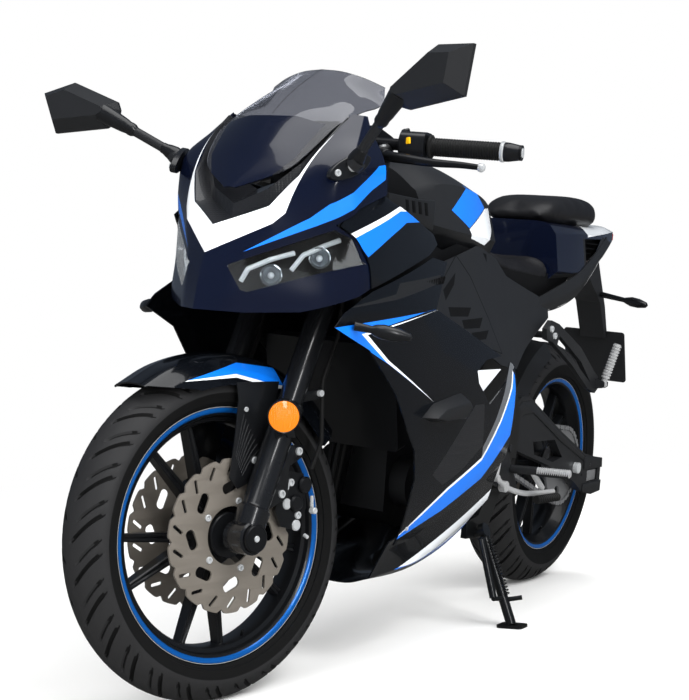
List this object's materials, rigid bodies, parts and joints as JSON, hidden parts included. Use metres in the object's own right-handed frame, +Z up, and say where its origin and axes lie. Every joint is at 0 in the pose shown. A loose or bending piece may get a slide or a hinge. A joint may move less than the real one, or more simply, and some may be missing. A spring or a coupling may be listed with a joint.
{
  "type": "sport motorcycle",
  "caption": "Fully faired small sport motorcycle leaning on its side stand, with clip-on bars, twin mirrors, stepped seat and cast wheels.",
  "frame": {"origin": "on the ground under the middle of the bounding box", "axes": "+X forward along the motorcycle, +Y to its left, +Z up"},
  "size_m": [2.0741, 0.9097, 1.1374],
  "materials": {
    "tyre_rubber": "matt",
    "cast_black": "satin paint with a blue edge stripe",
    "disc_steel": "ground steel",
    "steel_dark": "satin paint",
    "fork_black": "satin paint",
    "rubber_black": "matt",
    "plastic_black": "fine grain",
    "frame_black": "satin paint",
    "engine_grey": "satin paint on a casting",
    "radiator_grey": "painted fins",
    "muffler_black": "heat-proof paint",
    "caliper_black": "anodised",
    "spring_steel": "powder coat",
    "bracket_alloy": "brushed",
    "gloss_black": "gloss paint with blue and white stripes",
    "smoked_screen": "smoked clear plastic",
    "lamp_clear": "clear lens",
    "lamp_red": "red lens",
    "reflector_amber": "ribbed reflector",
    "seat_vinyl": "grained vinyl"
  },
  "bodies": {
    "chassis": {"belly_pan": "gloss_black", "chain": "disc_steel", "cheek_panel_left": "gloss_black", "cheek_panel_right": "gloss_black", "dash": "plastic_black", "engine": "engine_grey", "exhaust": "muffler_black", "footpeg_bracket_left": "bracket_alloy", "footpeg_bracket_right": "bracket_alloy", "frame": "frame_black", "frame_cover_left": "plastic_black", "frame_cover_right": "plastic_black", "headlight_left": "lamp_clear", "headlight_right": "lamp_clear", "hugger": "plastic_black", "indicators": "plastic_black", "mirror_left": "plastic_black", "mirror_right": "plastic_black", "nose_cowl": "gloss_black", "passenger_bracket_left": "bracket_alloy", "passenger_bracket_right": "bracket_alloy", "passenger_seat": "seat_vinyl", "plate_holder": "plastic_black", "radiator": "radiator_grey", "rear_axle": "steel_dark", "rear_caliper": "caliper_black", "rider_seat": "seat_vinyl", "shock": "spring_steel", "side_fairing_left": "gloss_black", "side_fairing_right": "gloss_black", "swingarm": "frame_black", "tail_cowl": "gloss_black", "tail_light": "lamp_red", "tank": "gloss_black", "windscreen": "smoked_screen"},
    "front_end": {"front_axle": "steel_dark", "fork_sliders": "fork_black", "fork_tubes": "fork_black", "fork_yokes": "fork_black", "handlebars": "fork_black", "grips": "rubber_black", "switch_housings": "plastic_black", "levers": "fork_black", "front_fender": "gloss_black", "reflectors": "reflector_amber", "front_calipers": "caliper_black", "brake_hoses": "rubber_black"},
    "front_wheel": {"front_tyre": "tyre_rubber", "front_rim": "cast_black", "front_discs": "disc_steel"},
    "rear_wheel": {"rear_tyre": "tyre_rubber", "rear_rim": "cast_black", "rear_disc": "disc_steel", "rear_sprocket": "disc_steel"},
    "side_stand": {"side_stand": "steel_dark"},
    "passenger_peg_left": {"passenger_peg_left": "bracket_alloy"},
    "passenger_peg_right": {"passenger_peg_right": "bracket_alloy"},
    "fuel_cap": {"fuel_cap": "bracket_alloy"}
  },
  "joints": [
    {"name": "steering", "type": "hinge", "parent": "chassis", "child": "front_end", "pos_m": [0.4742, -0.01976, 0.79373], "axis": [-0.4235, 0.1282, 0.8968], "range_deg": [-12.2, 43.8]},
    {"name": "front_wheel_spin", "type": "hinge", "parent": "front_end", "child": "front_wheel", "pos_m": [0.75143, -0.10172, 0.29294], "axis": [0.2468, 0.9688, -0.0219], "continuous": true},
    {"name": "rear_wheel_spin", "type": "hinge", "parent": "chassis", "child": "rear_wheel", "pos_m": [-0.6273, -0.08849, 0.31157], "axis": [0.0001, 0.9899, -0.1414], "continuous": true},
    {"name": "side_stand_fold", "type": "hinge", "parent": "chassis", "child": "side_stand", "pos_m": [-0.03919, 0.04953, 0.20351], "axis": [-0.0426, 0.9463, 0.3204], "range_deg": [0, 98]},
    {"name": "passenger_peg_left_fold", "type": "hinge", "parent": "chassis", "child": "passenger_peg_left", "pos_m": [-0.60548, 0.12533, 0.50731], "axis": [-1, 0, -0.0009], "range_deg": [0, 76]},
    {"name": "passenger_peg_right_fold", "type": "hinge", "parent": "chassis", "child": "passenger_peg_right", "pos_m": [-0.60553, -0.23897, 0.55936], "axis": [1, 0, 0.0009], "range_deg": [0, 76]},
    {"name": "fuel_cap_lid", "type": "hinge", "parent": "chassis", "child": "fuel_cap", "pos_m": [0.26505, 0.01026, 1.0037], "axis": [0.0001, 0.9899, -0.1414], "range_deg": [0, 90]}
  ]
}
